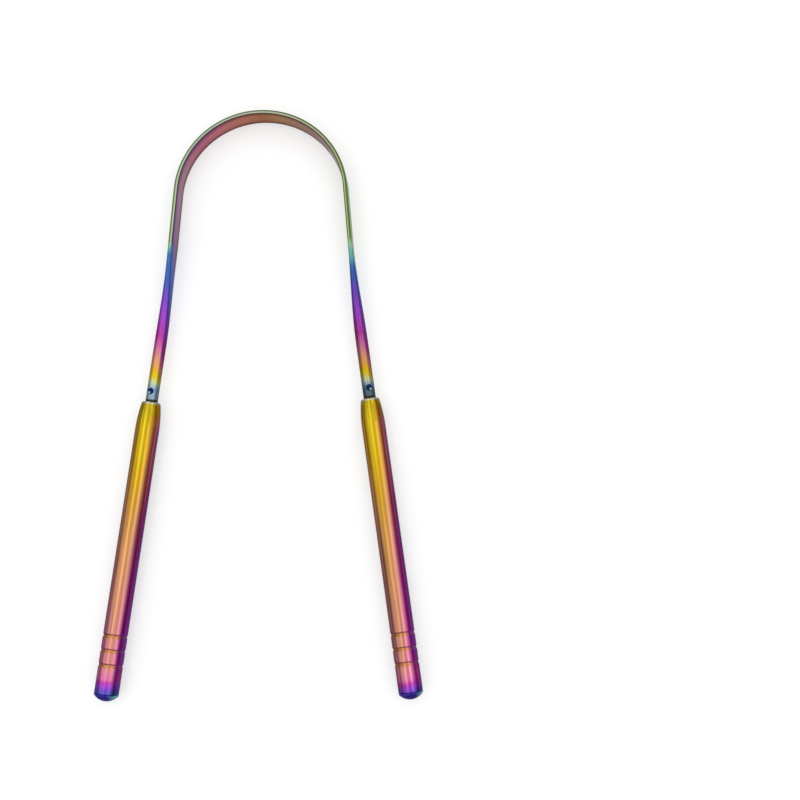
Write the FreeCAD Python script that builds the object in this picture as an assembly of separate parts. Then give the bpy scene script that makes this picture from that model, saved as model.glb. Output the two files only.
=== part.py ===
import FreeCAD, Part

import math
import os

from FreeCAD import Placement, Rotation, Vector

# U-shaped tongue scraper. All lengths are in millimetres, all angles in degrees.
# It lies flat: +Z is up, +Y points to the loop and the handles point to -Y.

# Round spring wire, rolled flat over the loop
WIRE_DIAMETER = 3.1
BAND_WIDTH = 6.6
BAND_THICKNESS = 1.1
EDGE_CHAMFER = 0.3

# Bow, along the centre line from the apex to the handle mouth
LOOP_RADIUS = 22.0
LEG_SPLAY_ANGLE = 4.5
HANDLE_SPLAY_ANGLE = 7.5
FLAT_LEG_LENGTH = 13.0
TAPER_LENGTH = 28.0
BARE_WIRE_LENGTH = 14.7
TAPER_STATIONS = 8

# Hidden wire end inside the handle, and the punched stop mark above the mouth
WIRE_INSERTION = 12.0
WIRE_END_CHAMFER = 0.3
DIMPLE_DIAMETER = 1.7
DIMPLE_DEPTH = 0.32
DIMPLE_TO_MOUTH = 2.7
DIMPLE_TURN_ANGLE = 12.0

# Handle tube, measured from its mouth
TUBE_DIAMETER = 6.0
TUBE_WALL = 0.6
TUBE_LENGTH = 72.5
MOUTH_DIAMETER = 4.6
LIP_CHAMFER = 0.5
NECK_LENGTH = 7.3
GRIP_LENGTH = 2.0
GRIP_CLEARANCE = 0.05

# Crimp flutes pressed along the neck
FLUTE_COUNT = 10
FLUTE_RADIUS = 0.3
FLUTE_DEPTH = 0.07
FLUTE_START = 1.3
FLUTE_LENGTH = 5.2

# Rings rolled into the tube near its far end
RING_COUNT = 3
RING_PITCH = 3.55
RING_WIDTH = 1.1
RING_DEPTH = 0.25
RING_CHORDS = 3
RING_TO_TUBE_END = 6.85

# Domed plug that closes the tube
DOME_HEIGHT = 1.5
RIM_HEIGHT = 0.35
SEAM_CHAMFER = 0.12
STEM_LENGTH = 5.0
STEM_CHAMFER = 0.4
STEM_CLEARANCE = 0.02

# Values worked out from the driving dimensions
WIRE_RADIUS = WIRE_DIAMETER / 2
TUBE_RADIUS = TUBE_DIAMETER / 2
BORE_RADIUS = TUBE_RADIUS - TUBE_WALL
AXIS_HEIGHT = BAND_WIDTH / 2
LOOP_HALF_ANGLE = 90.0 - LEG_SPLAY_ANGLE
HALF_OCTANT = math.radians(22.5)
OCTANT_CROWN = WIRE_RADIUS * (1 - math.cos(HALF_OCTANT))
OCTANT_CORNER = WIRE_RADIUS * (1 - math.sin(HALF_OCTANT))
SPREAD_SHARE = (BAND_WIDTH - BAND_THICKNESS) * BAND_THICKNESS / (WIRE_DIAMETER ** 2 - BAND_THICKNESS ** 2)
NECK_DROP = (TUBE_DIAMETER - MOUTH_DIAMETER) / 2
NECK_ARC_RADIUS = (NECK_LENGTH ** 2 + NECK_DROP ** 2) / (2 * NECK_DROP)
DOME_RADIUS = (TUBE_RADIUS ** 2 + DOME_HEIGHT ** 2) / (2 * DOME_HEIGHT)
HANDLE_LENGTH = TUBE_LENGTH + RIM_HEIGHT + DOME_HEIGHT


def plane_vector(angle):
    """Unit vector of the right leg that leans outward from -Y by the angle."""
    return Vector(math.sin(math.radians(angle)), -math.cos(math.radians(angle)), 0)


def bow_station(distance):
    """Point and heading of the right leg's centre line, this far below the loop's end."""
    heading = LEG_SPLAY_ANGLE
    loop_turn = math.radians(LOOP_HALF_ANGLE)
    loop_end = Vector(math.sin(loop_turn), math.cos(loop_turn), 0) * LOOP_RADIUS
    flat = min(distance, FLAT_LEG_LENGTH)
    point = loop_end + plane_vector(heading) * flat
    bent = min(max(distance - FLAT_LEG_LENGTH, 0), TAPER_LENGTH)
    if bent > 0:
        turn = (HANDLE_SPLAY_ANGLE - LEG_SPLAY_ANGLE) * bent / TAPER_LENGTH
        chord = bent
        if turn:
            chord = bent * math.sin(math.radians(turn / 2)) / math.radians(turn / 2)
        point = point + plane_vector(heading + turn / 2) * chord
        heading = heading + turn
    straight = max(distance - FLAT_LEG_LENGTH - TAPER_LENGTH, 0)
    return point + plane_vector(heading) * straight, heading


LEG_LENGTH = FLAT_LEG_LENGTH + TAPER_LENGTH + BARE_WIRE_LENGTH
MOUTH_POINT, MOUTH_HEADING = bow_station(LEG_LENGTH)

# The origin is under the middle of the scraper's box, which reaches from the domes to the loop's outer face
DOME_CENTRE = MOUTH_POINT + plane_vector(MOUTH_HEADING) * (HANDLE_LENGTH - DOME_RADIUS)
MIDDLE_Y = (LOOP_RADIUS + BAND_THICKNESS / 2 + DOME_CENTRE.y - DOME_RADIUS) / 2
FRAME_SHIFT = Vector(0, -MIDDLE_Y, AXIS_HEIGHT)


def section_wire(point, heading, roundness):
    """Closed section of the wire: 0 is the flat band with broken edges, 1 the full round in eight arcs."""
    thickness = BAND_THICKNESS + (WIRE_DIAMETER - BAND_THICKNESS) * roundness
    width = thickness + SPREAD_SHARE * (WIRE_DIAMETER ** 2 - thickness ** 2) / thickness
    crown = OCTANT_CROWN * roundness
    corner_cut = EDGE_CHAMFER + (OCTANT_CORNER - EDGE_CHAMFER) * roundness
    outward = plane_vector(heading + 90)
    upward = Vector(0, 0, 1)
    side = (thickness / 2 - crown, width / 2 - corner_cut)
    end = (thickness / 2 - corner_cut, width / 2 - crown)
    quarter = [side, end]
    half = quarter + [(-out, up) for out, up in reversed(quarter)]
    corners = half + [(-out, -up) for out, up in half]
    points = [point + outward * out + upward * up for out, up in corners]
    edges = []
    for start, stop in zip(points, points[1:] + points[:1]):
        bulge = (stop - start).cross(plane_vector(heading)).normalize() * crown
        middle = (start + stop) / 2 + bulge
        curve = Part.Arc(start, middle, stop) if crown else Part.LineSegment(start, stop)
        edges.append(curve.toShape())
    return Part.Wire(edges)


def loop_band():
    """Flat band turned round the loop, from the right leg over the apex to the left leg."""
    start, heading = bow_station(0)
    face = Part.Face(section_wire(start, heading, 0))
    return face.revolve(Vector(0, 0, 0), Vector(0, 0, 1), 2 * LOOP_HALF_ANGLE)


def leg_taper():
    """Flat band growing back to round wire along a slight outward bend, thicker as it gets narrower."""
    sections = []
    for i in range(TAPER_STATIONS + 1):
        share = i / TAPER_STATIONS
        point, heading = bow_station(FLAT_LEG_LENGTH + TAPER_LENGTH * share)
        sections.append(section_wire(point, heading, share * share * (3 - 2 * share)))
    return Part.makeLoft(sections, True, True)


def right_leg():
    """Flat stretch, taper and round wire with the chamfered end that sits in the handle."""
    start, heading = bow_station(0)
    flat = Part.Face(section_wire(start, heading, 0)).extrude(plane_vector(heading) * FLAT_LEG_LENGTH)
    wire_start, heading = bow_station(FLAT_LEG_LENGTH + TAPER_LENGTH)
    wire_length = BARE_WIRE_LENGTH + WIRE_INSERTION - WIRE_END_CHAMFER
    round_face = Part.Face(section_wire(wire_start, heading, 1))
    wire = round_face.extrude(plane_vector(heading) * wire_length)
    chamfer = Part.makeCone(WIRE_RADIUS, WIRE_RADIUS - WIRE_END_CHAMFER, WIRE_END_CHAMFER,
                            wire_start + plane_vector(heading) * wire_length, plane_vector(heading))
    return [flat, leg_taper(), wire, chamfer]


def stop_dimple():
    """Ball that punches the stop mark into the right wire, a little outward of its top."""
    ball_radius = (DIMPLE_DIAMETER ** 2 / 4 + DIMPLE_DEPTH ** 2) / (2 * DIMPLE_DEPTH)
    point, heading = bow_station(LEG_LENGTH - DIMPLE_TO_MOUTH)
    turn = math.radians(DIMPLE_TURN_ANGLE)
    lean = plane_vector(heading + 90) * math.sin(turn) + Vector(0, 0, 1) * math.cos(turn)
    return Part.makeSphere(ball_radius, point + lean * (WIRE_RADIUS + ball_radius - DIMPLE_DEPTH))


def mirrored(shape):
    """The same shape on the left side."""
    return shape.mirror(Vector(0, 0, 0), Vector(1, 0, 0))


def scraper_band():
    """One-piece bow: loop, both legs and both stop marks."""
    legs = right_leg()
    pieces = legs + [mirrored(piece) for piece in legs]
    bow = loop_band().fuse(pieces).removeSplitter()
    dimple = stop_dimple()
    return bow.cut([dimple, mirrored(dimple)])


def arc_edge(start, middle, end):
    """Arc in the half plane of a turned profile, where X is the radius and Z runs from the mouth."""
    return Part.Arc(Vector(start[0], 0, start[1]), Vector(middle[0], 0, middle[1]),
                    Vector(end[0], 0, end[1])).toShape()


def line_edge(start, end):
    """Straight stretch of a turned profile."""
    return Part.LineSegment(Vector(start[0], 0, start[1]), Vector(end[0], 0, end[1])).toShape()


def turned(edges):
    """Solid of revolution about Z from a closed profile."""
    return Part.Face(Part.Wire(edges)).revolve(Vector(0, 0, 0), Vector(0, 0, 1), 360)


def ring_points(centre):
    """Rolled ring groove round this place on the tube, as chords of one arc."""
    arc_radius = (RING_WIDTH ** 2 / 4 + RING_DEPTH ** 2) / (2 * RING_DEPTH)
    half_angle = math.asin(RING_WIDTH / 2 / arc_radius)
    points = []
    for i in range(RING_CHORDS + 1):
        angle = half_angle * (2 * i / RING_CHORDS - 1)
        radius = TUBE_RADIUS + arc_radius - RING_DEPTH - arc_radius * math.cos(angle)
        points.append((radius, centre + arc_radius * math.sin(angle)))
    return points


def neck_point(distance):
    """Outside of the swaged neck, this far from the mouth."""
    left = NECK_LENGTH - distance
    return (TUBE_RADIUS - NECK_ARC_RADIUS + math.sqrt(NECK_ARC_RADIUS ** 2 - left ** 2), distance)


def tube_outside():
    """Outer profile from the lip along the neck and the rings to the chamfered end."""
    lip_end = neck_point(LIP_CHAMFER)
    lip_start = (lip_end[0] - LIP_CHAMFER, 0)
    neck_end = (TUBE_RADIUS, NECK_LENGTH)
    neck = arc_edge(lip_end, neck_point((LIP_CHAMFER + NECK_LENGTH) / 2), neck_end)
    corners = [neck_end]
    for i in reversed(range(RING_COUNT)):
        corners.extend(ring_points(TUBE_LENGTH - RING_TO_TUBE_END - RING_PITCH * i))
    corners.append((TUBE_RADIUS, TUBE_LENGTH - SEAM_CHAMFER))
    corners.append((TUBE_RADIUS - SEAM_CHAMFER, TUBE_LENGTH))
    return [line_edge(lip_start, lip_end), neck], lip_start, corners


def crimp_flutes():
    """Rods bent to the neck's own curve that press the fine flutes into it."""
    path_radius = NECK_ARC_RADIUS + FLUTE_RADIUS - FLUTE_DEPTH
    centre = Vector(TUBE_RADIUS - NECK_ARC_RADIUS, 0, NECK_LENGTH)
    first = math.degrees(math.asin((NECK_LENGTH - FLUTE_START) / NECK_ARC_RADIUS))
    last = math.degrees(math.asin((NECK_LENGTH - FLUTE_START - FLUTE_LENGTH) / NECK_ARC_RADIUS))
    rod_centre = centre + Vector(path_radius, 0, 0)
    rod = Part.Face(Part.Wire(Part.Circle(rod_centre, Vector(0, 0, 1), FLUTE_RADIUS).toShape()))
    rod.rotate(centre, Vector(0, 1, 0), first)
    rod = rod.revolve(centre, Vector(0, 1, 0), last - first)
    rods = []
    for i in range(FLUTE_COUNT):
        turned_rod = rod.copy()
        turned_rod.rotate(Vector(0, 0, 0), Vector(0, 0, 1), 360 * (i + 0.5) / FLUTE_COUNT)
        rods.append(turned_rod)
    return rods


def handle_tube():
    """Thin tube swaged down at its mouth to grip the wire, with crimp flutes and three rolled rings."""
    grip_radius = WIRE_RADIUS + GRIP_CLEARANCE
    edges, lip_start, corners = tube_outside()
    corners += [(BORE_RADIUS, TUBE_LENGTH), (BORE_RADIUS, NECK_LENGTH), (grip_radius, GRIP_LENGTH)]
    corners += [(grip_radius, 0), lip_start]
    edges += [line_edge(a, b) for a, b in zip(corners, corners[1:])]
    return turned(edges).cut(crimp_flutes())


def end_plug():
    """Domed plug: the dome continues the tube's outside and the stem is pressed into its bore."""
    rim_start = TUBE_LENGTH
    rim_end = TUBE_LENGTH + RIM_HEIGHT
    tip = rim_end + DOME_HEIGHT
    stem_radius = BORE_RADIUS - STEM_CLEARANCE
    stem_start = TUBE_LENGTH - STEM_LENGTH
    dome_middle = math.asin(TUBE_RADIUS / DOME_RADIUS) / 2
    dome_point = (DOME_RADIUS * math.sin(dome_middle), tip - DOME_RADIUS * (1 - math.cos(dome_middle)))
    corners = [(0, tip), (0, stem_start), (stem_radius - STEM_CHAMFER, stem_start),
               (stem_radius, stem_start + STEM_CHAMFER), (stem_radius, rim_start),
               (TUBE_RADIUS - SEAM_CHAMFER, rim_start), (TUBE_RADIUS, rim_start + SEAM_CHAMFER),
               (TUBE_RADIUS, rim_end)]
    edges = [line_edge(a, b) for a, b in zip(corners, corners[1:])]
    edges.append(arc_edge((TUBE_RADIUS, rim_end), dome_point, (0, tip)))
    return turned(edges)


def on_right_handle(shape):
    """Moves a shape turned about Z so that its mouth sits at the end of the right leg."""
    placed = shape.copy()
    placed.Placement = Placement(MOUTH_POINT, Rotation(Vector(0, 0, 1), plane_vector(MOUTH_HEADING)))
    return placed


def build():
    """Makes every piece in the scraper's frame and returns them by name."""
    tube = on_right_handle(handle_tube())
    plug = on_right_handle(end_plug())
    pieces = {
        "scraper_band": scraper_band(),
        "left_handle_tube": mirrored(tube),
        "left_end_plug": mirrored(plug),
        "right_handle_tube": tube,
        "right_end_plug": plug,
    }
    for piece in pieces.values():
        piece.translate(FRAME_SHIFT)
    return pieces


os.makedirs("parts", exist_ok=True)
for name, piece in build().items():
    piece.exportStep(os.path.join("parts", name + ".step"))
    box = piece.BoundBox
    extents = (box.XMin, box.XMax, box.YMin, box.YMax, box.ZMin, box.ZMax)
    print(name, "valid", piece.isValid(), "solids", len(piece.Solids), "volume %.2f" % piece.Volume)
    print("   x %.2f..%.2f y %.2f..%.2f z %.2f..%.2f" % extents)
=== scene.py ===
import math

import bpy
import numpy as np
from mathutils import Matrix, Vector


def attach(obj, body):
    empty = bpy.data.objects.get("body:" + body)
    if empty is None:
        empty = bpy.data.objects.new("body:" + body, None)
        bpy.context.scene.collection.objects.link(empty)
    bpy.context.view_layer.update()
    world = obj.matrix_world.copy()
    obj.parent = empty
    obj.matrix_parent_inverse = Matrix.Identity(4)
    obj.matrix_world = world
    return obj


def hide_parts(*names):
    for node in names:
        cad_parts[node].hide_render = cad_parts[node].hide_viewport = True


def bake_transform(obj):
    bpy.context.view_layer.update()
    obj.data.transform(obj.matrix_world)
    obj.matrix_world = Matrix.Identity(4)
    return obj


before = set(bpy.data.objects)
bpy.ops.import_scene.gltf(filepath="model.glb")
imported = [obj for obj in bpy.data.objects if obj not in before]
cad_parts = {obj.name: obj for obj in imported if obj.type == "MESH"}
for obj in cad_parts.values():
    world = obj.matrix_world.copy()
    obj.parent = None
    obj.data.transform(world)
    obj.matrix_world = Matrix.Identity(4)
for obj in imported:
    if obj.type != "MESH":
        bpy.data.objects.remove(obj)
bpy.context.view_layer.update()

# Rainbow-coated tongue scraper: a bow of wire rolled flat over its loop, and two crimped-on handles.
# Sizes are in millimetres here and become metres when a mesh is made. The axes are the part's own.
MM = 0.001

# Wire and band
WIRE_DIAMETER = 3.1
BAND_WIDTH = 6.6
BAND_THICKNESS = 1.1
BAND_EDGE_RADIUS = 0.42
LOOP_RADIUS = 22.0
LEG_SPLAY = math.radians(4.5)
HANDLE_SPLAY = math.radians(7.5)
FLAT_LEG_LENGTH = 13.0
TAPER_LENGTH = 28.0
BARE_WIRE_LENGTH = 14.7
WIRE_INSERTION = 12.0
WIRE_END_CHAMFER = 0.3
LEG_LENGTH = FLAT_LEG_LENGTH + TAPER_LENGTH + BARE_WIRE_LENGTH
QUARTER_LOOP = LOOP_RADIUS * (math.pi / 2 - LEG_SPLAY)
APEX_ALONG = LEG_LENGTH + QUARTER_LOOP

# Punched stop mark. The place and spread of its burr are in radii of the mark
DIMPLE_TO_MOUTH = 2.7
DIMPLE_RADIUS = 0.85
DIMPLE_DEPTH = 0.32
DIMPLE_TURN = math.radians(12)
DIMPLE_BURR = 0.03
BURR_PLACE = 1.12
BURR_SPREAD = 0.14
DIMPLE_FRAME = 1.4 * DIMPLE_RADIUS

# Handle. The crimp flutes run out over one part in FLUTE_RUNOUT of their length at each end
TUBE_RADIUS = 3.0
TUBE_WALL = 0.6
TUBE_LENGTH = 72.5
MOUTH_RADIUS = 2.3
GRIP_CLEARANCE = 0.05
GRIP_LENGTH = 2.0
BORE_BEVEL = 0.12
LIP_RADIUS = 0.5
NECK_LENGTH = 7.3
FLUTE_COUNT = 10
FLUTE_HALF_WIDTH = 0.2
FLUTE_DEPTH = 0.07
FLUTE_START = 1.3
FLUTE_LENGTH = 5.2
FLUTE_RUNOUT = 8
RING_COUNT = 3
RING_PITCH = 3.55
RING_WIDTH = 1.1
RING_DEPTH = 0.16
RING_SHOULDER = 0.08
RING_SHARPNESS = 1.6
RING_TO_TUBE_END = 6.85
LAST_RING = TUBE_LENGTH - RING_TO_TUBE_END
FIRST_RING = LAST_RING - RING_PITCH * (RING_COUNT - 1)
SEAM_CHAMFER = 0.12
RIM_HEIGHT = 0.35
DOME_HEIGHT = 1.5
STEM_LENGTH = 5.0
STEM_CHAMFER = 0.4
STEM_CLEARANCE = 0.02

# Mesh fineness. The round wire's sections keep flats of LEAST_FLAT, so that no side of their outline is empty
SECTION_CORNER_POINTS = 10
SECTION_SIDE_POINTS = 14
SECTION_END_POINTS = 4
STATION_STEP = 0.5
DIMPLE_STEP = 0.07
TUBE_SEGMENTS = 240
PLUG_SEGMENTS = 120
LIP_POINTS = 8
NECK_POINTS = 36
GRIP_POINTS = 14
RING_POINTS = 17
DOME_POINTS = 18
LEAST_FLAT = 0.001
SMOOTH_ANGLE = math.radians(32)

# Stage, in metres, and levels at which 1 is white
FLOOR_REACH = 3.0
FLOOR_HEIGHT = -0.00004
FLOOR_SHADE = 0.6
FLOOR_ROUGHNESS = 0.9
FLOOR_GLOW = 0.48
BOX_LENGTH = 1.6
BOX_HEIGHT = 0.75
# Name of each lamp, how far to the right it hangs, its width and its radiance
SOFT_BOXES = (("soft_box_left", -0.26, 0.24, 0.45), ("soft_box_right", 0.40, 0.34, 0.38))
ROOM_LIGHT = 0.88
WALL_LEVEL_LEFT = 0.45
WALL_LEVEL_RIGHT = 0.46
# Parts of a direction's length: to the right for the walls, and up for where the ceiling starts and ends,
# which is higher on the right
WALL_SPAN = (-0.7, 0.9)
CEILING_SPAN = (0.06, 0.66)
CEILING_LEAN = -0.25
WHITE = (1.0, 1.0, 1.0, 1.0)

# Camera: its place from the loop's centre in millimetres, its angles in degrees, its lens and its sensor
CAMERA_FROM_LOOP = (45.569, -95.719, 279.901)
CAMERA_ANGLES = (8.814, -13.722, -14.486)
CAMERA_LENS = 50.0
CAMERA_SENSOR = 36.0

# The loop's centre in the part's own frame, and where the bending starts and ends beside the middle line
LOOP_CENTRE_Y = 52.424
AXIS_HEIGHT = BAND_WIDTH / 2
UP = np.array([0.0, 0.0, 1.0])


def leg_direction(lean, side):
    """Unit vector down a leg that leans outward by the angle; side is 1 on the right and -1 on the left."""
    return np.array([side * math.sin(lean), -math.cos(lean), 0.0])


def centre_line(along, side):
    """Point and direction of the wire's centre line, this far above the handle's mouth."""
    loop_end = np.array([side * LOOP_RADIUS * math.cos(LEG_SPLAY), LOOP_RADIUS * math.sin(LEG_SPLAY), 0.0])
    below = LEG_LENGTH - along
    if below <= 0:
        turn = math.pi / 2 - LEG_SPLAY + below / LOOP_RADIUS
        point = np.array([side * LOOP_RADIUS * math.sin(turn), LOOP_RADIUS * math.cos(turn), 0.0])
        direction = np.array([side * math.cos(turn), -math.sin(turn), 0.0])
    else:
        flat = min(below, FLAT_LEG_LENGTH)
        bent = min(max(below - FLAT_LEG_LENGTH, 0.0), TAPER_LENGTH)
        straight = max(below - FLAT_LEG_LENGTH - TAPER_LENGTH, 0.0)
        lean = LEG_SPLAY + (HANDLE_SPLAY - LEG_SPLAY) * bent / TAPER_LENGTH
        direction = leg_direction(lean, side)
        point = loop_end + leg_direction(LEG_SPLAY, side) * flat
        point = point + leg_direction((LEG_SPLAY + lean) / 2, side) * bent + direction * straight
    return point + np.array([0.0, LOOP_CENTRE_Y, AXIS_HEIGHT]), direction


def roundness_at(along):
    """0 on the flat band, 1 on the full round wire, easing in and out over the taper."""
    share = min(max((LEG_LENGTH - FLAT_LEG_LENGTH - along) / TAPER_LENGTH, 0.0), 1.0)
    return share * share * (3 - 2 * share)


def section_outline(thickness, width, corner, fractions):
    """Points and normals at these fractions round a rounded rectangle, from the middle of its outer side."""
    half_out, half_up = thickness / 2, width / 2
    side, end, arc = half_up - corner, 2 * (half_out - corner), math.pi / 2 * corner
    lengths = [side, arc, end, arc, 2 * side, arc, end, arc, side]
    starts = np.concatenate([[0.0], np.cumsum(lengths)])
    centres = [(1, 1), (-1, 1), (-1, -1), (1, -1)]
    points, normals = [], []
    for fraction in fractions:
        run = fraction * starts[-1]
        part = min(int(np.searchsorted(starts, run, side="right")) - 1, len(lengths) - 1)
        left = run - starts[part]
        quadrant = part // 2
        if part % 2:
            angle = math.pi / 2 * quadrant + left / corner
            normal = np.array([math.cos(angle), math.sin(angle)])
            centre = np.array(centres[quadrant]) * [half_out - corner, half_up - corner]
            point = centre + normal * corner
        else:
            angle = math.pi / 2 * (quadrant % 4)
            normal = np.array([math.cos(angle), math.sin(angle)])
            travel = np.array([-normal[1], normal[0]])
            reach = half_out if quadrant % 2 == 0 else half_up
            middle_offset = left if quadrant == 0 else left - lengths[part] / 2
            middle_offset = left - side if quadrant == 4 else middle_offset
            point = normal * reach + travel * middle_offset
        points.append(point)
        normals.append(normal)
    return np.array(points), np.array(normals)


def flat_fractions():
    """Where the section's points sit on the flat band: close together on the rounded edges."""
    side = BAND_WIDTH / 2 - BAND_EDGE_RADIUS
    end = BAND_THICKNESS - 2 * BAND_EDGE_RADIUS
    arc = math.pi / 2 * BAND_EDGE_RADIUS
    half_side = (side, SECTION_SIDE_POINTS // 2)
    rounded_edge = [(arc, SECTION_CORNER_POINTS), (end, SECTION_END_POINTS), (arc, SECTION_CORNER_POINTS)]
    runs = [half_side, *rounded_edge, (2 * side, SECTION_SIDE_POINTS), *rounded_edge, half_side]
    steps = np.concatenate([np.full(count, length / count) for length, count in runs])
    total = steps.sum()
    return np.concatenate([[0.0], np.cumsum(steps)[:-1]]) / total


def band_stations():
    """Distances above the mouth at which the band has a section, closer together at the stop mark."""
    inner_end = -WIRE_INSERTION + WIRE_END_CHAMFER
    mark_start = DIMPLE_TO_MOUTH - DIMPLE_FRAME
    mark_end = DIMPLE_TO_MOUTH + DIMPLE_FRAME

    def run(start, stop, step):
        return np.linspace(start, stop, max(int(round((stop - start) / step)), 1), endpoint=False)

    return np.concatenate([[-WIRE_INSERTION], run(inner_end, mark_start, STATION_STEP),
                           run(mark_start, mark_end, DIMPLE_STEP),
                           run(mark_end, APEX_ALONG, STATION_STEP), [APEX_ALONG]])


def press_dimple(points, along):
    """Pushes one section's points into the stop mark's round hollow, and raises a slight burr round it."""
    radius = WIRE_DIAMETER / 2
    angle = np.arctan2(points[:, 0], points[:, 1]) - DIMPLE_TURN
    angle = (angle + math.pi) % (2 * math.pi) - math.pi
    away = np.hypot(angle * radius, along - DIMPLE_TO_MOUTH) / DIMPLE_RADIUS
    hollow = np.where(away < 1, 1 - away ** 2, 0)
    burr = np.exp(-((away - BURR_PLACE) / BURR_SPREAD) ** 2)
    change = (DIMPLE_BURR * burr - DIMPLE_DEPTH * hollow) / radius
    return points * (1 + change)[:, None]


def make_mesh(name, rings, closed, caps):
    """Skin over rings of points. A ring of one point is a tip, and the rings named in caps are filled in.

    closed joins the last ring to the first.
    """
    starts = np.cumsum([0] + [len(ring) for ring in rings])
    faces = []
    pairs = list(zip(range(len(rings) - 1), range(1, len(rings))))
    if closed:
        pairs.append((len(rings) - 1, 0))
    for a, b in pairs:
        count = max(len(rings[a]), len(rings[b]))
        for i in range(count):
            j = (i + 1) % count
            if len(rings[a]) == 1:
                face = (starts[a], starts[b] + i, starts[b] + j)
            elif len(rings[b]) == 1:
                face = (starts[a] + j, starts[a] + i, starts[b])
            else:
                face = (starts[a] + j, starts[a] + i, starts[b] + i, starts[b] + j)
            faces.append([int(v) for v in face])
    for ring in caps:
        corner_ids = list(range(starts[ring], starts[ring + 1]))
        faces.append([int(v) for v in (corner_ids if ring == 0 else reversed(corner_ids))])
    mesh = bpy.data.meshes.new(name)
    mesh.from_pydata([tuple(p) for p in np.concatenate(rings) * MM], [], faces)
    mesh.validate()
    return mesh


def finish_piece(name, mesh, place, facing, material, mirrored):
    """Object with smooth shading and the two vectors that the coating's colours are worked out from.

    mirrored turns the faces of the left half of the bow outward again.
    """
    if mirrored:
        mesh.flip_normals()
    mesh.shade_smooth()
    mesh.set_sharp_from_angle(angle=SMOOTH_ANGLE)
    for label, values in (("place", place), ("facing", facing)):
        attribute = mesh.attributes.new(label, "FLOAT_VECTOR", "POINT")
        attribute.data.foreach_set("vector", np.asarray(values, np.float32).ravel())
    mesh.materials.append(material)
    piece = bpy.data.objects.new(name, mesh)
    bpy.context.scene.collection.objects.link(piece)
    return piece


def band_half(side, name, material):
    """Half of the bow, from the end inside the handle up one leg to the apex.

    place is (out, up, along above the mouth) and facing is (inward, up, right).
    """
    flat = flat_fractions()
    even = np.arange(len(flat)) / len(flat)
    # Brings the width from the round wire's to the flat band's while the thickness comes down
    spread = (BAND_WIDTH - BAND_THICKNESS) * BAND_THICKNESS / (WIRE_DIAMETER ** 2 - BAND_THICKNESS ** 2)
    rings, place, facing = [], [], []
    for along in band_stations():
        point, direction = centre_line(along, side)
        roundness = roundness_at(along)
        thickness = BAND_THICKNESS + (WIRE_DIAMETER - BAND_THICKNESS) * roundness
        width = thickness + spread * (WIRE_DIAMETER ** 2 - thickness ** 2) / thickness
        corner = BAND_EDGE_RADIUS + (WIRE_DIAMETER / 2 - BAND_EDGE_RADIUS) * roundness
        corner = min(corner, thickness / 2 - LEAST_FLAT)
        fractions = flat * (1 - roundness) + even * roundness
        points, normals = section_outline(thickness, width, corner, fractions)
        points = press_dimple(points, along)
        if along <= -WIRE_INSERTION:
            points = points * (1 - WIRE_END_CHAMFER / (WIRE_DIAMETER / 2))
        outward = np.array([-direction[1], direction[0], 0.0]) * side
        rings.append(point + points[:, :1] * outward + points[:, 1:] * UP)
        place.append(np.column_stack([points, np.full(len(points), along)]))
        facing.append(np.column_stack([-normals[:, 0], normals[:, 1], side * normals[:, 0]]))
    mesh = make_mesh(name, rings, closed=False, caps=[0, len(rings) - 1])
    return finish_piece(name, mesh, np.concatenate(place), np.concatenate(facing), material,
                        mirrored=side < 0)


def neck_radius(distance):
    """Outside of the swaged neck, this far below the mouth."""
    drop = TUBE_RADIUS - MOUTH_RADIUS
    arc = (NECK_LENGTH ** 2 + drop ** 2) / (2 * drop)
    left = NECK_LENGTH - distance
    return TUBE_RADIUS - arc + math.sqrt(arc ** 2 - left ** 2)


def ring_profile(centre):
    """Smooth valley of one rolled ring, with an edge on each shoulder so that the tube stays straight."""
    valley = []
    for s in np.linspace(-1, 1, RING_POINTS):
        depth = RING_DEPTH * math.cos(math.pi * s / 2) ** RING_SHARPNESS
        valley.append((TUBE_RADIUS - depth, centre + s * RING_WIDTH / 2))
    shoulder = RING_WIDTH / 2 + RING_SHOULDER
    return [(TUBE_RADIUS, centre - shoulder)] + valley + [(TUBE_RADIUS, centre + shoulder)]


def tube_profile():
    """Closed outline of the tube's wall, and how many of its points are outside. The rest are in the bore."""
    lip = neck_radius(LIP_RADIUS)
    turns = np.linspace(0, math.pi / 2, LIP_POINTS)
    outline = [(lip - LIP_RADIUS + LIP_RADIUS * math.sin(a), LIP_RADIUS * (1 - math.cos(a))) for a in turns]
    outline += [(neck_radius(t), t) for t in np.linspace(LIP_RADIUS, NECK_LENGTH, NECK_POINTS)[1:]]
    grip_end = FIRST_RING - RING_WIDTH
    outline += [(TUBE_RADIUS, t) for t in np.linspace(NECK_LENGTH, grip_end, GRIP_POINTS)[1:]]
    for i in range(RING_COUNT):
        outline += ring_profile(FIRST_RING + RING_PITCH * i)
    outline += [(TUBE_RADIUS, TUBE_LENGTH - 2 * SEAM_CHAMFER), (TUBE_RADIUS, TUBE_LENGTH - SEAM_CHAMFER)]
    outline += [(TUBE_RADIUS - SEAM_CHAMFER, TUBE_LENGTH)]
    outside = len(outline)
    grip = WIRE_DIAMETER / 2 + GRIP_CLEARANCE
    outline += [(TUBE_RADIUS - TUBE_WALL, TUBE_LENGTH), (TUBE_RADIUS - TUBE_WALL, NECK_LENGTH)]
    outline += [(grip, GRIP_LENGTH), (grip, BORE_BEVEL), (grip + BORE_BEVEL, 0)]
    return outline, outside


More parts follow.
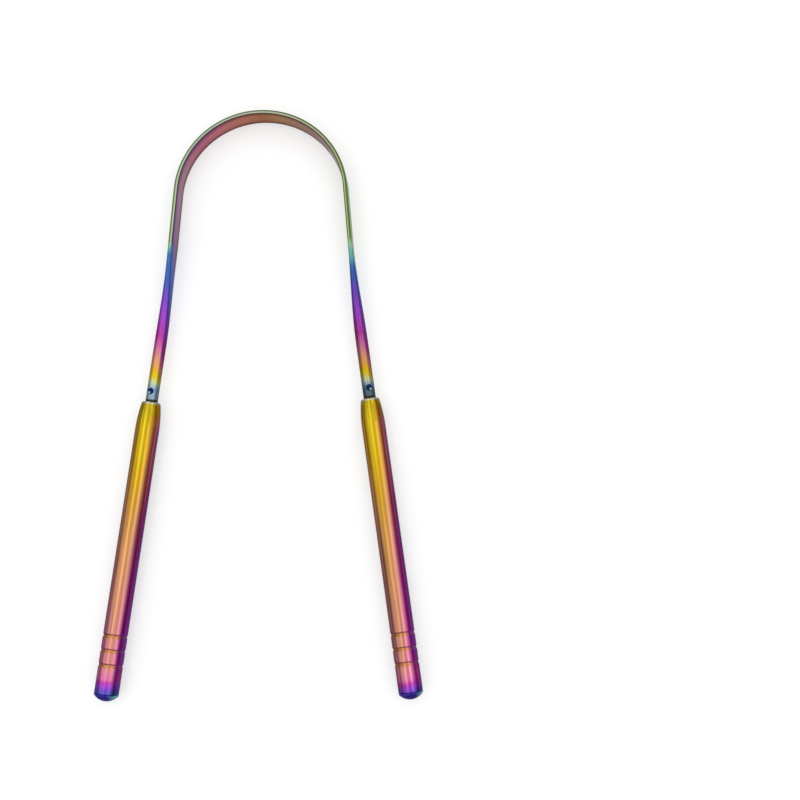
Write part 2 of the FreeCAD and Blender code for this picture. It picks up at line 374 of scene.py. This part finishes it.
def plug_profile():
    """Outline of the plug from the middle of its stem's end to the tip of its dome."""
    stem = TUBE_RADIUS - TUBE_WALL - STEM_CLEARANCE
    start = TUBE_LENGTH - STEM_LENGTH
    rim = TUBE_LENGTH + RIM_HEIGHT
    ball = (TUBE_RADIUS ** 2 + DOME_HEIGHT ** 2) / (2 * DOME_HEIGHT)
    reach = math.asin(TUBE_RADIUS / ball)
    outline = [(0, start), (stem - STEM_CHAMFER, start), (stem, start + STEM_CHAMFER), (stem, TUBE_LENGTH)]
    outline += [(TUBE_RADIUS - SEAM_CHAMFER, TUBE_LENGTH), (TUBE_RADIUS, TUBE_LENGTH + SEAM_CHAMFER)]
    for a in np.linspace(reach, 0, DOME_POINTS):
        outline.append((ball * math.sin(a), rim + DOME_HEIGHT - ball * (1 - math.cos(a))))
    return outline


def flute_depth(angle, distance, radius):
    """How deep the crimp flutes are at this place on the neck's outside."""
    pitch = 2 * math.pi / FLUTE_COUNT
    off = (angle % pitch - pitch / 2) * radius
    across = np.clip(1 - (off / FLUTE_HALF_WIDTH) ** 2, 0, 1)
    into = (distance - FLUTE_START) / FLUTE_LENGTH
    along = min(max(min(into, 1 - into) * FLUTE_RUNOUT, 0), 1)
    return FLUTE_DEPTH * across * along


def turned_piece(name, profile, segments, side, material, colour_turn, closed, fluted_rows):
    """Piece turned round the handle's axis, with flutes on the first rows of its profile.

    place is (right, up, below the mouth) and facing is (inward, up, right). colour_turn is the angle by which
    the colours are turned round the axis.
    """
    mouth, axis = centre_line(0.0, side)
    right = np.array([-axis[1], axis[0], 0.0])
    angles = np.arange(segments) * 2 * math.pi / segments
    rings, place, facing = [], [], []
    for i, (radius, distance) in enumerate(profile):
        turns = angles if radius > 0 else angles[:1]
        reach = np.full(len(turns), float(radius))
        if i < fluted_rows:
            reach = reach - flute_depth(turns, distance, radius)
        across = np.column_stack([reach * np.sin(turns), reach * np.cos(turns)])
        rings.append(mouth + axis * distance + across[:, :1] * right + across[:, 1:] * UP)
        place.append(np.column_stack([across, np.full(len(turns), distance)]))
        seen = turns - colour_turn
        facing.append(np.column_stack([-side * np.sin(seen), np.cos(seen), np.sin(seen)]))
    mesh = make_mesh(name, rings, closed, caps=[])
    return finish_piece(name, mesh, np.concatenate(place), np.concatenate(facing), material, mirrored=False)


def linear(red, green, blue):
    """Display colour from 0 to 255 as the linear colour that shaders take."""
    values = [c / 255 for c in (red, green, blue)]
    return tuple(v / 12.92 if v <= 0.04045 else ((v + 0.055) / 1.055) ** 2.4 for v in values) + (1.0,)


# Interference colours of the coating, in the order in which a growing film shows them
ICE = linear(128, 164, 198)
CREAM = linear(196, 206, 150)
YELLOW = linear(216, 188, 34)
GOLD = linear(218, 166, 48)
PEACH = linear(216, 154, 104)
SALMON = linear(210, 138, 126)
ROSE = linear(200, 112, 152)
MAGENTA = linear(176, 62, 152)
VIOLET = linear(154, 72, 190)
INDIGO = linear(112, 76, 190)
BLUE = linear(64, 96, 172)
TEAL = linear(94, 160, 158)
PALE_GREEN = linear(135, 182, 150)
SAGE = linear(160, 178, 125)
OLIVE = linear(150, 158, 112)
ORDERS = (ICE, CREAM, YELLOW, GOLD, PEACH, SALMON, ROSE, MAGENTA, VIOLET, INDIGO, BLUE, TEAL, PALE_GREEN,
          SAGE, OLIVE)

# Where each order lies on the wire, in millimetres above the mouth: on both legs, then further up each leg
WIRE_ORDERS = ((0.0, 0.0), (3.5, 0.0), (5.1, 1.0), (6.1, 1.8), (7.2, 2.1), (9.0, 3.5), (10.8, 4.3),
               (12.2, 5.3), (14.4, 6.2), (17.0, 7.0), (20.0, 7.6), (24.0, 8.3), (27.0, 8.9))
LEFT_WIRE_TOP = ((28.4, 9.05), (29.8, 9.7), (33.5, 10.0), (38.0, 10.1), (39.0, 10.5), (39.8, 11.0),
                 (41.0, 12.0), (43.0, 12.7), (55.0, 14.0))
RIGHT_WIRE_TOP = ((29.5, 9.3), (31.5, 9.95), (33.2, 10.05), (34.6, 10.3), (35.6, 10.6), (36.6, 11.0),
                  (37.7, 11.15), (38.7, 11.5), (40.0, 12.2), (43.0, 12.7), (55.0, 14.0))
# Where each order lies on the handle, in millimetres below the mouth
HANDLE_ORDERS = ((0.0, 2.0), (14.0, 2.15), (25.0, 3.0), (35.0, 3.7), (46.0, 4.2), (58.0, 4.8),
                 (66.5, 5.2), (69.0, 6.2), (70.2, 7.6), (71.2, 8.6), (72.3, 9.6))
# Painted shade round the wire: its brightness by how far the surface faces right (1) or left (-1)
WIRE_SHADE = ((-1.0, 0.2), (-0.8, 0.4), (-0.5, 0.75), (-0.2, 1.0), (0.52, 1.0), (0.64, 0.86),
              (0.74, 0.7), (0.82, 0.48), (0.92, 0.34), (1.0, 0.34))
# The flat band's edge: its colours across the thickness from the outer side, with a painted highlight line
# across its middle and painted shade at its inner corner, and each leg's tint along it
EDGE_SHEEN_AND_SHADE = ((-0.55, linear(92, 108, 82)), (-0.2, linear(106, 122, 94)), (-0.02, linear(122, 138, 106)),
        (0.1, linear(186, 195, 172)), (0.22, linear(188, 195, 178)), (0.34, linear(112, 115, 102)),
        (0.45, linear(68, 62, 64)), (0.55, linear(64, 54, 62)))
LEFT_TONE = ((40.0, linear(250, 255, 232)), (62.0, linear(250, 255, 238)), (76.0, linear(238, 250, 242)),
             (88.6, linear(250, 248, 244)))
RIGHT_TONE = ((40.0, linear(224, 244, 172)), (56.0, linear(224, 244, 172)), (63.0, linear(232, 234, 200)),
              (78.0, linear(240, 236, 214)), (88.6, linear(250, 248, 244)))
# The flat band's outer face: each leg's colour, the one where they meet, and the green of its worn patches
LEFT_OUTER = linear(140, 146, 120)
RIGHT_OUTER = linear(156, 162, 122)
APEX_OUTER = linear(148, 154, 121)
OUTER_GREEN = linear(112, 172, 128)
# The flat band's inner face: its tint across the width, with painted shade along its top and bottom edges,
# and each leg's colours along it up to the apex
LEFT_ACROSS_SHADE = ((-3.3, linear(80, 50, 50)), (-2.9, linear(136, 112, 110)), (-2.0, linear(220, 204, 200)),
              (-0.8, linear(255, 250, 248)), (0.8, linear(255, 248, 252)), (2.0, linear(214, 196, 236)),
              (2.7, linear(168, 156, 214)), (3.3, linear(104, 96, 148)))
RIGHT_ACROSS_SHADE = ((-3.3, linear(80, 56, 48)), (-2.9, linear(136, 120, 110)), (-2.0, linear(220, 208, 198)),
               (-0.8, linear(255, 252, 246)), (1.6, linear(255, 250, 248)), (2.6, linear(210, 196, 192)),
               (3.3, linear(110, 96, 90)))
APEX_BROWN = linear(164, 113, 73)
LEFT_INNER = ((33.0, linear(96, 118, 178)), (37.0, linear(108, 112, 168)), (40.0, linear(124, 112, 162)),
              (43.0, linear(158, 118, 152)), (54.0, linear(178, 142, 154)), (62.0, linear(178, 138, 146)),
              (70.0, linear(184, 113, 132)), (77.0, linear(186, 119, 122)), (83.0, linear(182, 121, 102)),
              (88.6, APEX_BROWN))
RIGHT_INNER = ((33.0, linear(120, 150, 150)), (43.0, linear(150, 158, 120)), (60.0, linear(152, 154, 132)),
               (66.0, linear(154, 146, 130)), (71.0, linear(160, 136, 120)), (78.0, linear(166, 128, 101)),
               (83.0, linear(168, 131, 94)), (88.6, APEX_BROWN))
# How many orders further the film has grown round the handle, by how far the surface faces right or left
ROUND_SHIFT = ((-1.0, 1.3), (-0.8, 1.0), (-0.5, 0.2), (-0.1, 0.0), (0.15, 0.6), (0.32, 1.2),
               (0.46, 2.2), (0.62, 2.7), (0.85, 3.0), (1.0, 3.2))
# The handle's painted shade round it in the same terms, with dark flanks and a dark line down the middle, and
# its painted lightness down it
ROUND_SHADE = ((-1.0, 0.28), (-0.88, 0.34), (-0.74, 0.62), (-0.6, 0.88), (-0.46, 1.0), (-0.16, 1.0),
               (-0.03, 0.83), (0.1, 1.0), (0.46, 1.0), (0.54, 0.78), (0.64, 0.46), (0.78, 0.4),
               (0.88, 0.36), (1.0, 0.36))
LENGTH_GAIN = ((0.0, 0.8), (6.0, 0.98), (40.0, 1.0), (56.0, 1.12), (66.0, 1.24), (69.0, 1.42),
               (71.5, 1.15), (75.0, 1.0))
# Extra tint on the side of the handle that faces away to the right, by millimetres below the mouth
FLANK_TINT = ((0.0, linear(255, 205, 150)), (20.0, linear(255, 176, 140)), (45.0, linear(255, 164, 225)))

# Other colours: the stop mark, the mouth and the painted shade where the wire enters it, the rings' painted
# highlight and shade, the steel near the mouth and the plug
MARK_SHADE_BLUE = linear(24, 40, 80)
MOUTH_METAL = linear(194, 190, 160)
CONTACT_SHADE = linear(46, 46, 32)
RING_HIGHLIGHT = linear(196, 132, 56)
RING_SHADE = linear(96, 32, 40)
DARK_STEEL = linear(84, 92, 90)
LIGHT_STEEL = linear(142, 162, 172)
DIMPLE_GLINT = linear(170, 196, 214)
CAP_BLUE = linear(34, 32, 108)
CAP_RIM = linear(74, 54, 160)
CAP_TEAL = linear(84, 140, 154)
SPECULAR_TINT = (0.6, 0.56, 0.6, 1.0)

# Noises: how fine they are across, up and along the piece, their scale, and their detail and seed. The two
# that shift the colours end with how far they do so, in millimetres on the wire and in orders on the handle
LINE_NOISE = ((1.0, 1.0, 0.03), 4.0, 3.0)
PATCH_NOISE = ((1.0, 1.0, 0.4), 0.7, 3.0, 5.0)
WORN_NOISE = ((1.0, 1.0, 0.35), 0.16, 2.0, 3.0)
STREAK_NOISE = ((1.0, 1.0, 0.02), 2.4, 3.0, 9.0)
WIRE_WANDER = ((1.0, 1.0, 0.25), 0.9, 0.8)
HANDLE_WANDER = ((1.0, 1.0, 0.1), 0.8, 0.25)
# The noise levels between which the polish changes, the outer face wears, and the streaks grow lighter
POLISH_LEVELS = (0.3, 0.7)
WORN_LEVELS = (0.35, 0.65)
STREAK_LEVELS = (0.35, 0.62, 0.75, 1.0)
# Lowest and highest roughness, and the strength of the drawing lines, which are this high in metres
BOW_POLISH = (0.2, 0.34, 0.25)
HANDLE_POLISH = (0.08, 0.16, 0.2)
PLUG_POLISH = (0.14, 0.24, 0.2)
LINE_RELIEF = 0.00001

# The bow. A SPAN is a stretch above the mouth in millimetres, and a FACING is how squarely a surface faces.
# On the side that faces right, the colour zones lie up to LEAN_REACH lower
LEAN_REACH = 5.0
LEAN_FACING = (0.35, 0.9)
LEAN_SPAN = (7.0, 30.0)
LEAN_SOFT = 4.5
# STEEL_SHARE of the steel shows near the mouth, and from STEEL_FULL of its reach on it fades
STEEL_FULL = 0.45
STEEL_SHARE = 0.8
# The painted shade round the wire fades over one span, and what is left of it over the next
SHADE_SPAN = (16.0, 34.0)
SHADE_LEVEL_SPAN = (33.5, 36.5)
# The stop mark's painted shade in deep blue, its painted glint, which lies to the right and nearer the mouth,
# and the painted shade line just above the mouth
MARK_DEPTH_SHARE = 0.6
MARK_SOFT = 0.12
GLINT_SHIFT = (0.34, -0.34)
GLINT_RADIUS = 0.27
GLINT_SOFT = 0.14
CONTACT_SHADE_SPAN = (0.3, 0.9)
# The flat band: where both legs' colours meet, its outer face, and its inner face, whose tint widens upward
APEX_SPAN = (72.0, APEX_ALONG)
OUTER_GREEN_SHARE = 0.55
OUTER_FACING = (-0.95, -0.7)
FLAT_SPAN = (39.6, 42.0)
WIDENING_SPAN = (30.0, 43.0)
INNER_WIDENING = 0.28
INNER_FACING = (0.68, 0.92)
INNER_SPAN = (32.0, 38.0)

# The handle, in millimetres below the mouth, or by how far a surface faces right. Of four numbers the last
# two are levels, and of three the last one is how soft both ends are
SPREAD_START = (1.0, 8.0, 0.1, 1.0)
SPREAD_END = (62.0, 71.5, 1.0, 0.22)
FLANK_FACING = (0.66, 0.8)
FLANK_FADE = (20.0, 60.0, 1.2, 0.0)
# Where the left side's film is held back and painted shade darkens it, then where painted shade darkens the
# right side
WARM_FACING = (-0.95, -0.25, 0.15)
WARM_START = (18.0, 45.0)
WARM_SHIFT = 0.3
WARM_SHADE = -0.24
RIGHT_SHADE_FACING = (0.38, 0.7, 0.08)
RIGHT_SHADE_START = (12.0, 32.0)
TINT_FACING = (0.46, 0.72, 0.12)
MOUTH_RIM = (0.45, 0.85)
RING_MARGIN = 1.0
RING_SOFT = 0.1
RING_FADE = (0.1, 0.6, 0.85, 0.2)
RING_HIGHLIGHT_ACROSS = (-0.15, 0.42, 0.12)
RING_SHADE_ACROSS = (-0.55, -0.25, 0.1)
# The plug: its colours by millimetres beyond the tube's end, and where its flank lies to the right
CAP_STOPS = ((0.0, CAP_RIM), (0.7, CAP_BLUE), (1.8, CAP_BLUE))
CAP_FLANK = (0.9, 2.8)
# How far the colours are turned round each handle
LEFT_COLOUR_TURN = math.radians(15)
RIGHT_COLOUR_TURN = math.radians(3)


class Graph:
    """Adds nodes to the tree of one material or world and links them."""

    def __init__(self, owner, shader):
        owner.use_nodes = True
        self.owner = owner
        self.tree = owner.node_tree
        self.shader = self.tree.nodes[shader]

    def put(self, socket, value):
        if isinstance(value, bpy.types.NodeSocket):
            self.tree.links.new(value, socket)
        else:
            socket.default_value = value

    def add(self, kind, sockets, **settings):
        node = self.tree.nodes.new(kind)
        for key, value in settings.items():
            setattr(node, key, value)
        for key, value in sockets.items():
            self.put(node.inputs[key], value)
        return node

    def split(self, whole):
        parts = self.add("ShaderNodeSeparateXYZ", {0: whole})
        return parts.outputs[0], parts.outputs[1], parts.outputs[2]

    def vector(self, name):
        """A vector stored on the mesh: its three numbers and the vector itself."""
        whole = self.add("ShaderNodeAttribute", {}, attribute_name=name).outputs["Vector"]
        return self.split(whole) + (whole,)

    def math(self, operation, a, b=0.0, c=0.0):
        return self.add("ShaderNodeMath", {0: a, 1: b, 2: c}, operation=operation).outputs[0]

    def times(self, a, b):
        return self.math("MULTIPLY", a, b)

    def ease(self, value, low, high, to_low=0.0, to_high=1.0):
        """Smooth step of the value from low to high."""
        return self.add("ShaderNodeMapRange", {0: value, 1: low, 2: high, 3: to_low, 4: to_high},
                        interpolation_type="SMOOTHSTEP").outputs[0]

    def band(self, value, low, high, soft):
        """1 between low and high and 0 outside, with soft ends."""
        return self.times(self.ease(value, low - soft, low + soft),
                          self.ease(value, high - soft, high + soft, 1.0, 0.0))

    def ramp(self, value, stops):
        """Colours or levels at these places, in the value's own unit."""
        low, high = stops[0][0], stops[-1][0]
        share = self.add("ShaderNodeMapRange", {0: value, 1: low, 2: high}).outputs[0]
        node = self.add("ShaderNodeValToRGB", {0: share})
        elements = node.color_ramp.elements
        while len(elements) < len(stops):
            elements.new(1.0)
        for element, (place, colour) in zip(elements, stops):
            element.position = (place - low) / (high - low)
            element.color = colour if isinstance(colour, tuple) else (colour, colour, colour, 1.0)
        return node.outputs[0]

    def curve(self, value, stops):
        """Number that runs through these stops, which may be above 1."""
        most = max(level for place, level in stops)
        return self.times(self.ramp(value, [(place, level / most) for place, level in stops]), most)

    def mix(self, share, a, b, blend="MIX"):
        """Mixes two colours. Inputs 6 and 7 and output 2 are the node's sockets for colours."""
        node = self.add("ShaderNodeMix", {}, data_type="RGBA", blend_type=blend)
        self.put(node.inputs[0], share)
        self.put(node.inputs[6], a)
        self.put(node.inputs[7], b)
        return node.outputs[2]

    def tint(self, a, b):
        """Multiplies two colours."""
        return self.mix(1.0, a, b, "MULTIPLY")

    def noise(self, vector, fineness, scale, detail=2.0, seed=0.0):
        """Noise from 0 to 1 on the vector, this fine along each of its axes."""
        placed = self.add("ShaderNodeMapping",
                          {"Vector": vector, "Scale": fineness, "Location": (seed, seed, seed)}).outputs[0]
        return self.add("ShaderNodeTexNoise", {"Vector": placed, "Scale": scale, "Detail": detail}).outputs[0]

    def wander(self, vector, fineness, scale, reach):
        """Slow uneven shift, up to about this much either way."""
        return self.times(self.math("SUBTRACT", self.noise(vector, fineness, scale), 0.5), 2 * reach)

    def film(self, order):
        """The coating's colour at this place in the sequence."""
        return self.ramp(order, list(enumerate(ORDERS)))

    def near(self, place, centre, radius, soft):
        """1 within this distance of a point and 0 outside."""
        away = self.add("ShaderNodeVectorMath", {0: place, 1: centre}, operation="DISTANCE").outputs["Value"]
        return self.ease(away, radius - soft, radius + soft, 1.0, 0.0)


def new_graph(name):
    return Graph(bpy.data.materials.new(name), "Principled BSDF")


def coat(graph, colour, place, rough_low, rough_high, bump):
    """Metal under the coating: fine drawing lines along the wire or tube, and a slightly uneven polish."""
    lines = graph.noise(place, *LINE_NOISE)
    patches = graph.noise(place, *PATCH_NOISE)
    uneven = graph.times(graph.math("ADD", lines, patches), 0.5)
    graph.put(graph.shader.inputs["Base Color"], colour)
    graph.shader.inputs["Metallic"].default_value = 1.0
    graph.shader.inputs["Specular Tint"].default_value = SPECULAR_TINT
    graph.put(graph.shader.inputs["Roughness"], graph.ease(uneven, *POLISH_LEVELS, rough_low, rough_high))
    relief = graph.add("ShaderNodeBump", {"Height": lines, "Strength": bump, "Distance": LINE_RELIEF})
    graph.put(graph.shader.inputs["Normal"], relief.outputs[0])
    return graph.owner


def leg_colour(graph, along, right, place, wire_top, wire_shade_level, steel, steel_reach):
    """Colour zones up the leg with painted shade, steel near the mouth, the stop mark's painted shade and
    glint, and painted shade at the mouth.
    """
    lean = graph.times(graph.ease(right, *LEAN_FACING, 0.0, LEAN_REACH),
                       graph.band(along, *LEAN_SPAN, LEAN_SOFT))
    moved = graph.math("ADD", graph.math("ADD", along, lean), graph.wander(place, *WIRE_WANDER))
    leg = graph.film(graph.curve(moved, WIRE_ORDERS + wire_top))
    leg = graph.mix(graph.ease(along, STEEL_FULL * steel_reach, steel_reach, STEEL_SHARE, 0.0), leg, steel)
    # Painted shade round the wire, at a level that wire_shade_level lowers over the whole leg
    shade = graph.ramp(right, [(side, level * wire_shade_level) for side, level in WIRE_SHADE])
    shade = graph.mix(graph.ease(along, *SHADE_SPAN), shade, (wire_shade_level, wire_shade_level, wire_shade_level, 1.0))
    shade = graph.mix(graph.ease(along, *SHADE_LEVEL_SPAN), shade, WHITE)
    leg = graph.tint(leg, shade)
    bottom = WIRE_DIAMETER / 2 - MARK_DEPTH_SHARE * DIMPLE_DEPTH
    spot = (bottom * math.sin(DIMPLE_TURN), bottom * math.cos(DIMPLE_TURN), DIMPLE_TO_MOUTH)
    glint = (spot[0] + GLINT_SHIFT[0], spot[1], spot[2] + GLINT_SHIFT[1])
    # The stop mark's hollow is painted in deep blue shade, with a painted glint
    leg = graph.mix(graph.near(place, spot, DIMPLE_RADIUS, MARK_SOFT), leg, MARK_SHADE_BLUE)
    leg = graph.mix(graph.near(place, glint, GLINT_RADIUS, GLINT_SOFT), leg, DIMPLE_GLINT)
    # Painted shade on the wire just above the mouth
    return graph.mix(graph.ease(along, *CONTACT_SHADE_SPAN, 1.0, 0.0), leg, CONTACT_SHADE)


def band_material(word, wire_top, wire_shade_level, steel, steel_reach, outer, tone, depth, inner):
    """Coating of half the bow: its leg, and a different tint on each face of the flat loop, with painted
    highlight and shade on its edge and inner face.
    """
    graph = new_graph("rainbow_bow_" + word)
    out, up, along, place = graph.vector("place")
    inward, _, right, _ = graph.vector("facing")
    near_apex = graph.ease(along, *APEX_SPAN)
    # The edge's painted highlight and shade, times each leg's tint
    edge = graph.tint(graph.ramp(graph.times(out, -1.0), EDGE_SHEEN_AND_SHADE), graph.ramp(along, tone))
    worn = graph.ease(graph.noise(place, *WORN_NOISE), *WORN_LEVELS)
    outside = graph.mix(near_apex, outer, APEX_OUTER)
    outside = graph.mix(worn, outside, graph.mix(OUTER_GREEN_SHARE, outside, OUTER_GREEN))
    edge = graph.mix(graph.ease(inward, *OUTER_FACING, 1.0, 0.0), edge, outside)
    leg = leg_colour(graph, along, right, place, wire_top, wire_shade_level, steel, steel_reach)
    colour = graph.mix(graph.ease(along, *FLAT_SPAN), leg, edge)
    # Tint across the inner face, with painted shade along its top and bottom edges
    across = graph.mix(near_apex, graph.ramp(up, depth), graph.ramp(up, RIGHT_ACROSS_SHADE))
    inner_face = graph.tint(graph.ramp(along, inner), across)
    widening = graph.ease(along, *WIDENING_SPAN, INNER_WIDENING, 0.0)
    inside = graph.ease(graph.math("SUBTRACT", inward, widening), *INNER_FACING)
    inside = graph.times(inside, graph.ease(along, *INNER_SPAN))
    return coat(graph, graph.mix(inside, colour, inner_face), place, *BOW_POLISH)


def ring_colour(graph, colour, below, right, shade):
    """Paints a golden highlight and a dark shade line along each rolled ring of the handle."""
    apart = graph.math("WRAP", graph.math("SUBTRACT", below, FIRST_RING), RING_PITCH / 2, -RING_PITCH / 2)
    ringed = graph.times(graph.band(below, FIRST_RING - RING_MARGIN, LAST_RING + RING_MARGIN, RING_SOFT),
                         graph.ease(right, *RING_FADE))
    ring_highlight = graph.times(ringed, graph.band(apart, *RING_HIGHLIGHT_ACROSS))
    line = graph.times(ringed, graph.band(apart, *RING_SHADE_ACROSS))
    return graph.mix(line, graph.mix(ring_highlight, colour, graph.tint(RING_HIGHLIGHT, shade)), RING_SHADE)


def handle_material(word, warmth_and_shade, depth, late):
    """Coating of a handle: yellow at the mouth, through orange and salmon, to magenta and blue far down.

    warmth_and_shade holds the film back on the left side and paints shade there, depth is how much painted
    shade darkens the right side, and late is how many millimetres further down the orders lie.
    """
    graph = new_graph("rainbow_handle_" + word)
    _, _, below, place = graph.vector("place")
    _, _, right, _ = graph.vector("facing")
    uneven = graph.wander(place, *HANDLE_WANDER)
    spread = graph.times(graph.ease(below, *SPREAD_START), graph.ease(below, *SPREAD_END))
    flank = graph.times(graph.ease(right, *FLANK_FACING), graph.ease(below, *FLANK_FADE))
    shift = graph.times(graph.math("ADD", graph.curve(right, ROUND_SHIFT), flank), spread)
    warm_shade_mask = graph.times(graph.band(right, *WARM_FACING), graph.ease(below, *WARM_START, 0.0, warmth_and_shade))
    shift = graph.math("SUBTRACT", shift, graph.times(warm_shade_mask, WARM_SHIFT))
    grown = graph.curve(graph.math("SUBTRACT", below, late), HANDLE_ORDERS)
    order = graph.math("ADD", graph.math("ADD", grown, shift), uneven)
    # Painted shade on both flanks
    deep = graph.times(graph.band(right, *RIGHT_SHADE_FACING), graph.ease(below, *RIGHT_SHADE_START, 0.0, depth))
    dim = graph.times(graph.math("MULTIPLY_ADD", warm_shade_mask, WARM_SHADE, 1.0), graph.math("SUBTRACT", 1.0, deep))
    # Painted shade round the handle, then painted lightness down it
    shade = graph.tint(graph.ramp(right, ROUND_SHADE), dim)
    colour = graph.tint(graph.tint(graph.film(order), shade), graph.curve(below, LENGTH_GAIN))
    tinted = graph.tint(colour, graph.ramp(below, FLANK_TINT))
    colour = graph.mix(graph.band(right, *TINT_FACING), colour, tinted)
    colour = graph.tint(colour, graph.ease(graph.noise(place, *STREAK_NOISE), *STREAK_LEVELS))
    colour = graph.mix(graph.ease(below, *MOUTH_RIM, 1.0, 0.0), colour, graph.tint(MOUTH_METAL, shade))
    return coat(graph, ring_colour(graph, colour, below, right, shade), place, *HANDLE_POLISH)


def plug_material():
    """Coating of the domed plug: deep blue with a green-blue flank."""
    graph = new_graph("rainbow_plug")
    rightward, _, below, place = graph.vector("place")
    front = graph.ramp(below, [(TUBE_LENGTH + above, colour) for above, colour in CAP_STOPS])
    colour = graph.mix(graph.ease(rightward, *CAP_FLANK), front, CAP_TEAL)
    return coat(graph, colour, place, *PLUG_POLISH)


def seen_directly(graph):
    """Whether a ray comes from the camera, and whether it comes from there or from a mirror or glass.

    Those rays see the pale background. The others only light.
    """
    rays = graph.add("ShaderNodeLightPath", {})
    mirrored = graph.math("MAXIMUM", rays.outputs["Is Glossy Ray"], rays.outputs["Is Transmission Ray"])
    return rays.outputs["Is Camera Ray"], graph.math("MAXIMUM", rays.outputs["Is Camera Ray"], mirrored)


def add_floor():
    """Plain pale floor that the scraper lies on. It looks near white and keeps the scraper's shadow."""
    mesh = bpy.data.meshes.new("floor")
    corners = [(-FLOOR_REACH, -FLOOR_REACH), (FLOOR_REACH, -FLOOR_REACH), (FLOOR_REACH, FLOOR_REACH),
               (-FLOOR_REACH, FLOOR_REACH)]
    mesh.from_pydata([(x, y, FLOOR_HEIGHT) for x, y in corners], [], [(0, 1, 2, 3)])
    graph = new_graph("pale_floor")
    graph.shader.inputs["Base Color"].default_value = (FLOOR_SHADE, FLOOR_SHADE, FLOOR_SHADE, 1.0)
    graph.shader.inputs["Roughness"].default_value = FLOOR_ROUGHNESS
    graph.shader.inputs["Specular IOR Level"].default_value = 0.0
    graph.shader.inputs["Emission Color"].default_value = WHITE
    _, seen = seen_directly(graph)
    graph.put(graph.shader.inputs["Emission Strength"], graph.times(seen, FLOOR_GLOW))
    mesh.materials.append(graph.owner)
    floor = bpy.data.objects.new("floor", mesh)
    bpy.context.scene.collection.objects.link(floor)


def add_soft_box(name, across, width, radiance):
    """Lamp above the scraper, long in Y, that looks down at the middle of the object."""
    lamp = bpy.data.lights.new(name, "AREA")
    lamp.shape = "RECTANGLE"
    lamp.size = width
    lamp.size_y = BOX_LENGTH
    lamp.energy = radiance * math.pi * width * BOX_LENGTH
    box = bpy.data.objects.new(name, lamp)
    box.location = (across, 0.0, BOX_HEIGHT)
    box.rotation_euler = (0.0, math.atan2(across, BOX_HEIGHT), 0.0)
    box.visible_camera = False
    bpy.context.scene.collection.objects.link(box)


def add_light():
    """Plain studio light: two long soft boxes overhead, and a white room with dimmer walls in mirror rays."""
    for soft_box in SOFT_BOXES:
        add_soft_box(*soft_box)
    world = bpy.data.worlds.new("room")
    bpy.context.scene.world = world
    graph = Graph(world, "Background")
    camera_ray, seen = seen_directly(graph)
    direction = graph.add("ShaderNodeTexCoord", {}).outputs["Generated"]
    east, _, height = graph.split(direction)
    wall = graph.ease(east, *WALL_SPAN, WALL_LEVEL_LEFT, WALL_LEVEL_RIGHT)
    raised = graph.math("MULTIPLY_ADD", graph.math("MAXIMUM", east, 0.0), CEILING_LEAN, height)
    ceiling = graph.ease(raised, *CEILING_SPAN)
    room = graph.math("MULTIPLY_ADD", ceiling, graph.math("SUBTRACT", 1.0, wall), wall)
    shown = graph.math("MAXIMUM", camera_ray, room)
    level = graph.math("MULTIPLY_ADD", seen, graph.math("SUBTRACT", shown, ROOM_LIGHT), ROOM_LIGHT)
    graph.shader.inputs["Color"].default_value = WHITE
    graph.put(graph.shader.inputs["Strength"], level)


def add_camera():
    """Camera at the photograph's viewing angle, for a square picture."""
    x, y, height = CAMERA_FROM_LOOP
    place = Vector((x, LOOP_CENTRE_Y + y, height)) * MM
    tilt, heading, roll = (math.radians(angle) for angle in CAMERA_ANGLES)
    lean = math.sin(tilt)
    forward = Vector((lean * math.sin(heading), lean * math.cos(heading), -math.cos(tilt)))
    level = Vector((math.cos(heading), -math.sin(heading), 0.0))
    raised = level.cross(forward)
    right = level * math.cos(roll) + raised * math.sin(roll)
    up = raised * math.cos(roll) - level * math.sin(roll)
    data = bpy.data.cameras.new("camera")
    data.lens = CAMERA_LENS
    data.sensor_width = CAMERA_SENSOR
    camera = bpy.data.objects.new("camera", data)
    camera.matrix_world = Matrix.Translation(place) @ Matrix((right, up, -forward)).transposed().to_4x4()
    bpy.context.scene.collection.objects.link(camera)
    bpy.context.scene.camera = camera


def dress_scraper():
    """Replaces every CAD node by its finished piece and ties each handle and plug to its arm's body."""
    # wire_shade_level is the level of each leg's painted shade: the right leg is painted darker
    bows = (band_material("left", wire_top=LEFT_WIRE_TOP, wire_shade_level=1.0, steel=LIGHT_STEEL, steel_reach=2.8,
                          outer=LEFT_OUTER, tone=LEFT_TONE, depth=LEFT_ACROSS_SHADE, inner=LEFT_INNER),
            band_material("right", wire_top=RIGHT_WIRE_TOP, wire_shade_level=0.78, steel=DARK_STEEL, steel_reach=4.4,
                          outer=RIGHT_OUTER, tone=RIGHT_TONE, depth=RIGHT_ACROSS_SHADE, inner=RIGHT_INNER))
    handles = (handle_material("left", warmth_and_shade=0.0, depth=0.3, late=0.0),
               handle_material("right", warmth_and_shade=1.0, depth=0.0, late=0.7))
    plug = plug_material()
    for side, word, colour_turn in ((-1, "left", LEFT_COLOUR_TURN), (1, "right", RIGHT_COLOUR_TURN)):
        arm = word + "_arm"
        half = band_half(side, word + "_bow_half", bows[side > 0])
        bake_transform(half)
        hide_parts("scraper_band")
        outline, outside = tube_profile()
        tube = turned_piece(word + "_handle", outline, TUBE_SEGMENTS, side, handles[side > 0], colour_turn,
                            closed=True, fluted_rows=outside)
        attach(tube, arm)
        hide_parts(word + "_handle_tube")
        cap = turned_piece(word + "_plug", plug_profile(), PLUG_SEGMENTS, side, plug, colour_turn,
                           closed=False, fluted_rows=0)
        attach(cap, arm)
        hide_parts(word + "_end_plug")


dress_scraper()
add_floor()
add_light()
add_camera()
bpy.context.scene.view_settings.view_transform = "Standard"
